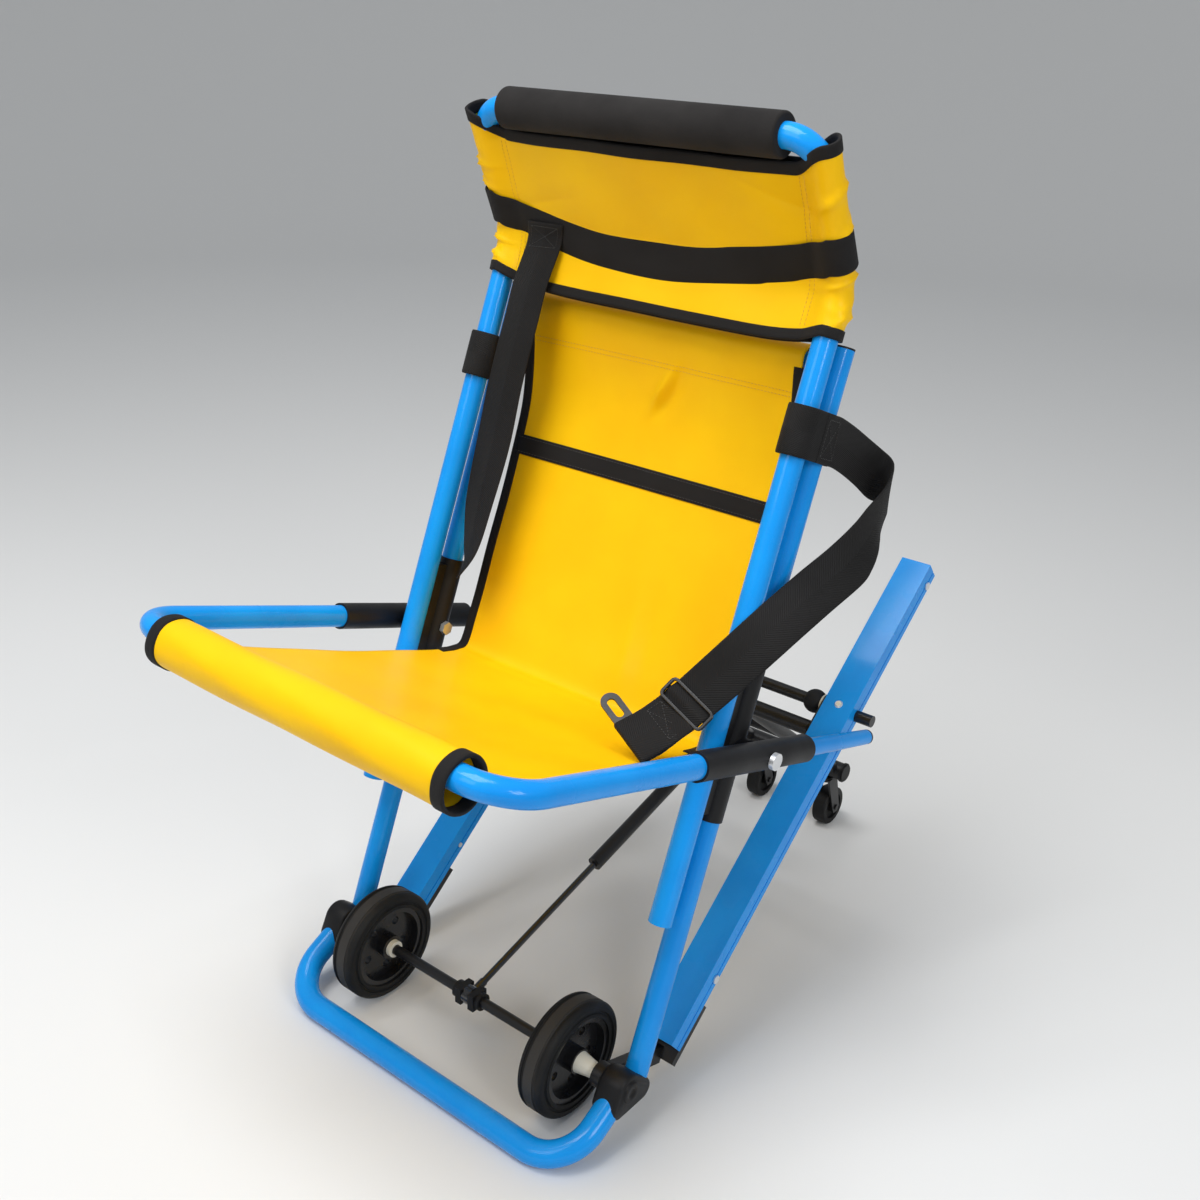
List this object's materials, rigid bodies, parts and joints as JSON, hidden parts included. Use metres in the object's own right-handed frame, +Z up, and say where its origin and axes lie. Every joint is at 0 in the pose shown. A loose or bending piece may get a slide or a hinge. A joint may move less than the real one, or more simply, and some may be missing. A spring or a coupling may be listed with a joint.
{
  "type": "folding stair chair",
  "caption": "Folding stair chair: leaning tube frame with a slung fabric seat and back, belt tracks behind, a swing-down castor stand and front wheels.",
  "frame": {"origin": "on the floor under the middle of the bounding box", "axes": "+Z up, +X to the sitter's left, -Y the way the chair faces"},
  "size_m": [0.5406, 0.9457, 1.0087],
  "materials": {
    "frame_paint": "gloss",
    "black_plastic": "matte",
    "zinc": "satin",
    "black_paint": "satin",
    "cream_plastic": "matte",
    "tyre": "matte",
    "rubber": "matte",
    "foam": "matte",
    "yellow_fabric": "satin",
    "webbing": "matte"
  },
  "bodies": {
    "frame": {"main_tube_left": "frame_paint", "main_tube_right": "frame_paint", "main_tube_plugs": "black_plastic", "top_cross_bar": "frame_paint", "foot_bar": "frame_paint", "corner_bracket_left": "black_plastic", "corner_bracket_right": "black_plastic", "pivot_sleeve_left": "black_plastic", "pivot_sleeve_right": "black_plastic", "leg_guide_left": "black_plastic", "leg_guide_right": "black_plastic", "seat_pivot_bolts": "zinc", "front_axle": "black_paint", "axle_block": "black_plastic", "axle_cones": "cream_plastic", "back_panel": "yellow_fabric", "shoulder_strap_left": "webbing", "shoulder_strap_right": "webbing"},
    "handle": {"handle_legs": "frame_paint", "handle_hoop": "frame_paint", "grip_foam": "foam", "head_restraint": "yellow_fabric"},
    "seat": {"seat_tube": "frame_paint", "seat_sleeve_left": "black_plastic", "seat_sleeve_right": "black_plastic", "seat_tail_left": "frame_paint", "seat_tail_right": "frame_paint", "seat_tail_plugs": "black_plastic", "seat_panel": "yellow_fabric", "strap_tongue": "black_plastic"},
    "tracks": {"track_rail_left": "frame_paint", "track_rail_right": "frame_paint", "rail_foot_left": "black_paint", "rail_foot_right": "black_paint", "rail_bolts": "zinc", "rod_plates": "black_paint", "upper_cross_rod": "black_paint", "rod_collars": "rubber", "rod_washers": "cream_plastic", "stand_pivot_rod": "black_paint", "track_belt_left": "rubber", "track_belt_right": "rubber", "pulley_pins": "zinc"},
    "stand": {"stand_frame": "black_paint", "stand_crossbar": "black_paint", "crossbar_caps": "black_plastic"},
    "strut_rod": {"strut_rod": "black_paint"},
    "strut_cylinder": {"strut_cylinder": "black_paint"},
    "front_wheel_left": {"front_tyre_left": "tyre", "front_hub_left": "black_plastic"},
    "upper_pulley_left": {"upper_pulley_left": "black_plastic"},
    "lower_pulley_left": {"lower_pulley_left": "black_plastic"},
    "castor_left": {"castor_fork_left": "black_paint"},
    "castor_wheel_left": {"castor_wheel_left": "tyre"},
    "front_wheel_right": {"front_tyre_right": "tyre", "front_hub_right": "black_plastic"},
    "upper_pulley_right": {"upper_pulley_right": "black_plastic"},
    "lower_pulley_right": {"lower_pulley_right": "black_plastic"},
    "castor_right": {"castor_fork_right": "black_paint"},
    "castor_wheel_right": {"castor_wheel_right": "tyre"}
  },
  "joints": [
    {"name": "seat_fold", "type": "hinge", "parent": "frame", "child": "seat", "pos_m": [0, -0.07782, 0.40428], "axis": [1, 0, 0], "range_deg": [-76, 0], "deforming": ["shoulder_strap_left", "shoulder_strap_right"]},
    {"name": "tracks_fold", "type": "hinge", "parent": "frame", "child": "tracks", "pos_m": [0, -0.23811, 0.0675], "axis": [1, 0, 0], "range_deg": [0, 27]},
    {"name": "handle_slide", "type": "slide", "parent": "frame", "child": "handle", "axis": [0, 0.3633, 0.9317], "range_m": [0, 0.15]},
    {"name": "stand_fold", "type": "hinge", "parent": "tracks", "child": "stand", "pos_m": [0, 0.16186, 0.30903], "axis": [1, 0, 0], "range_deg": [-95, 0]},
    {"name": "strut_swing", "type": "hinge", "parent": "tracks", "child": "strut_rod", "pos_m": [0, -0.23811, 0.0675], "axis": [1, 0, 0], "range_deg": [0, 11.01]},
    {"name": "strut_extend", "type": "slide", "parent": "strut_rod", "child": "strut_cylinder", "axis": [0, 0.9549, 0.297], "range_m": [-0.16615, 0]},
    {"name": "front_wheel_left_spin", "type": "hinge", "parent": "frame", "child": "front_wheel_left", "pos_m": [0.144, -0.23811, 0.0675], "axis": [1, 0, 0], "continuous": true},
    {"name": "upper_pulley_left_spin", "type": "hinge", "parent": "tracks", "child": "upper_pulley_left", "pos_m": [0.197, 0.33143, 0.45386], "axis": [1, 0, 0], "continuous": true},
    {"name": "lower_pulley_left_spin", "type": "hinge", "parent": "tracks", "child": "lower_pulley_left", "pos_m": [0.197, -0.07463, 0.10705], "axis": [1, 0, 0], "continuous": true},
    {"name": "castor_left_swivel", "type": "hinge", "parent": "stand", "child": "castor_left", "pos_m": [0.057, 0.42886, 0.0985], "axis": [0, 0, 1], "continuous": true},
    {"name": "castor_left_spin", "type": "hinge", "parent": "castor_left", "child": "castor_wheel_left", "pos_m": [0.057, 0.44486, 0.028], "axis": [1, 0, 0], "continuous": true},
    {"name": "front_wheel_right_spin", "type": "hinge", "parent": "frame", "child": "front_wheel_right", "pos_m": [-0.144, -0.23811, 0.0675], "axis": [1, 0, 0], "continuous": true},
    {"name": "upper_pulley_right_spin", "type": "hinge", "parent": "tracks", "child": "upper_pulley_right", "pos_m": [-0.197, 0.33143, 0.45386], "axis": [1, 0, 0], "continuous": true},
    {"name": "lower_pulley_right_spin", "type": "hinge", "parent": "tracks", "child": "lower_pulley_right", "pos_m": [-0.197, -0.07463, 0.10705], "axis": [1, 0, 0], "continuous": true},
    {"name": "castor_right_swivel", "type": "hinge", "parent": "stand", "child": "castor_right", "pos_m": [-0.057, 0.42886, 0.0985], "axis": [0, 0, 1], "continuous": true},
    {"name": "castor_right_spin", "type": "hinge", "parent": "castor_right", "child": "castor_wheel_right", "pos_m": [-0.057, 0.44486, 0.028], "axis": [1, 0, 0], "continuous": true}
  ],
  "couplings": [
    {"joint": "tracks_fold", "follows": "seat_fold", "ratio": -0.35526},
    {"joint": "strut_swing", "follows": "stand_fold", "ratio": -0.11593},
    {"joint": "strut_extend", "follows": "stand_fold", "m_per_rad": 0.10021}
  ]
}
